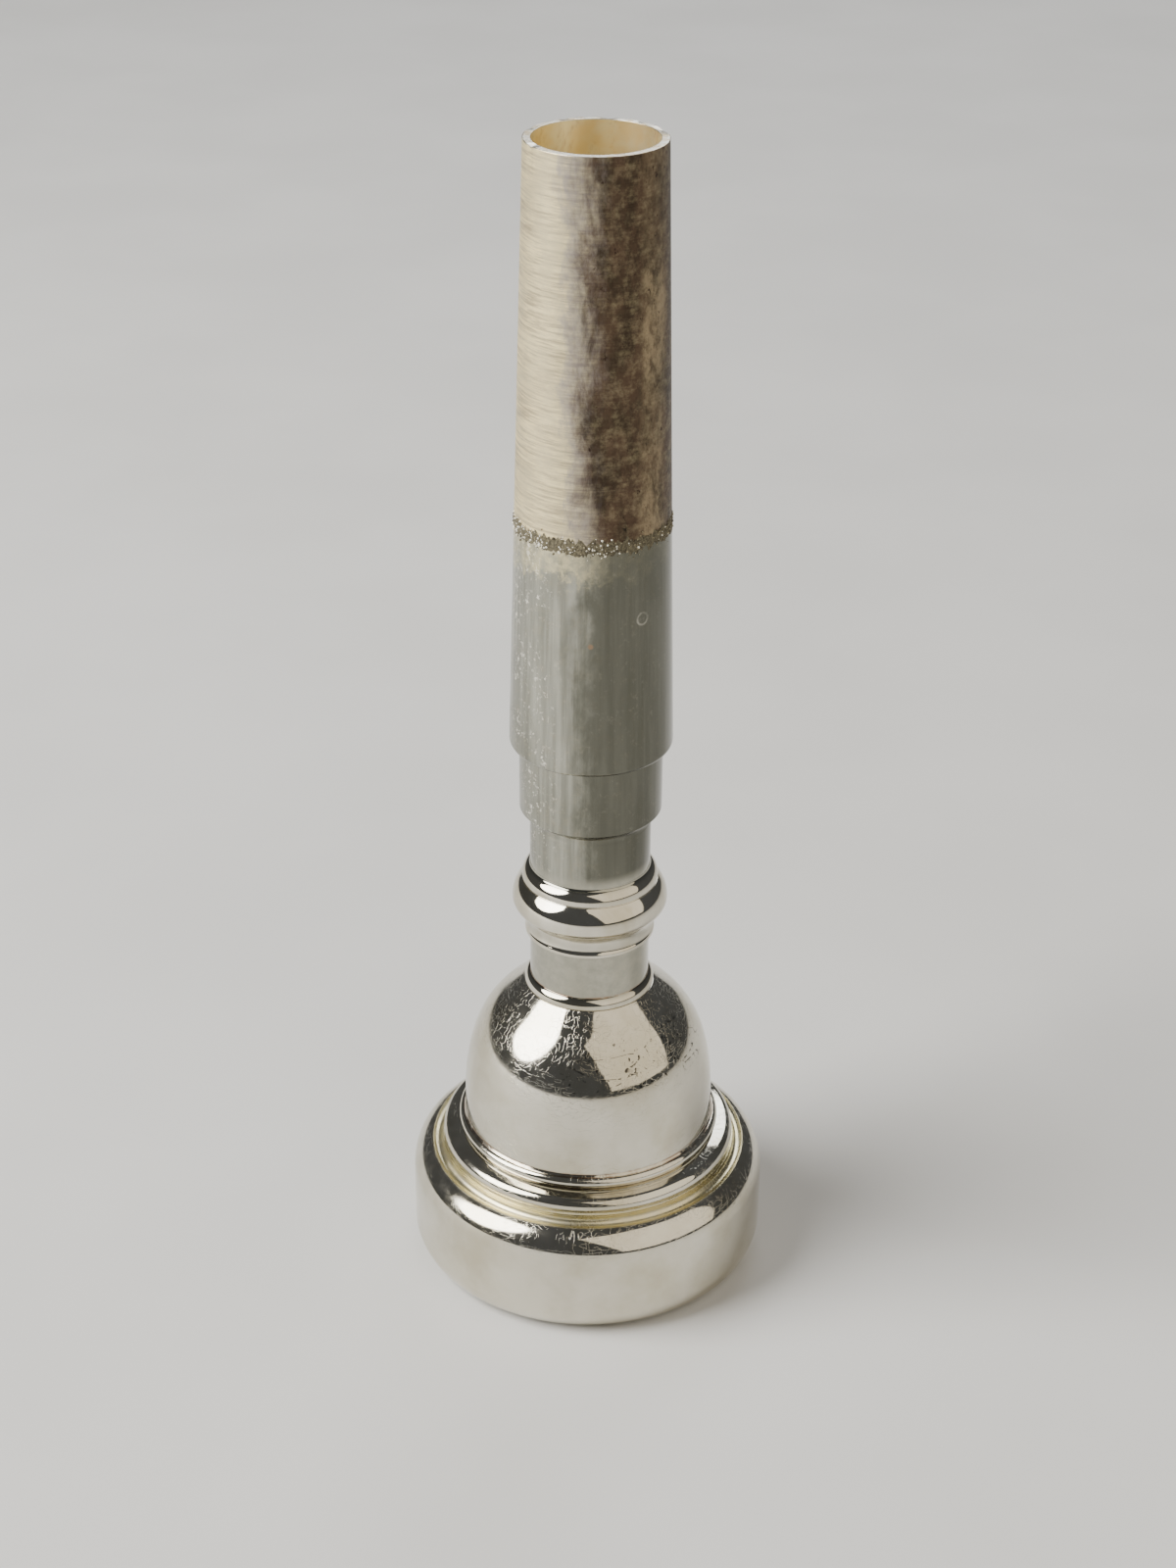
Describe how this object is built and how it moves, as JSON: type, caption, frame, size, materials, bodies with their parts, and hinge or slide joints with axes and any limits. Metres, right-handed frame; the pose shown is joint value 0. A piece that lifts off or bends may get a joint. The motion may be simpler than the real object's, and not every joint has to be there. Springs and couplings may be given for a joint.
{
  "type": "brass instrument mouthpiece",
  "caption": "Trumpet-size cup mouthpiece in silver-plated brass: a rounded rim, a beaded bowl and a long tapered shank, standing on its rim.",
  "frame": {"origin": "centre of the plane that the rim rests on", "axes": "+Z along the axis from the rim towards the shank's end; X and Y are any two directions across"},
  "size_m": [0.027, 0.027, 0.0875],
  "materials": {
    "silver_plate": "polished silver plate, lightly tarnished",
    "worn_plate": "satin silver plate on brass, worn and stained",
    "deposit": "rough, chalky"
  },
  "bodies": {
    "root": {"screw_rim": "silver_plate", "cup": "silver_plate", "backbore_shank": "worn_plate", "mineral_deposit": "deposit"}
  },
  "joints": []
}
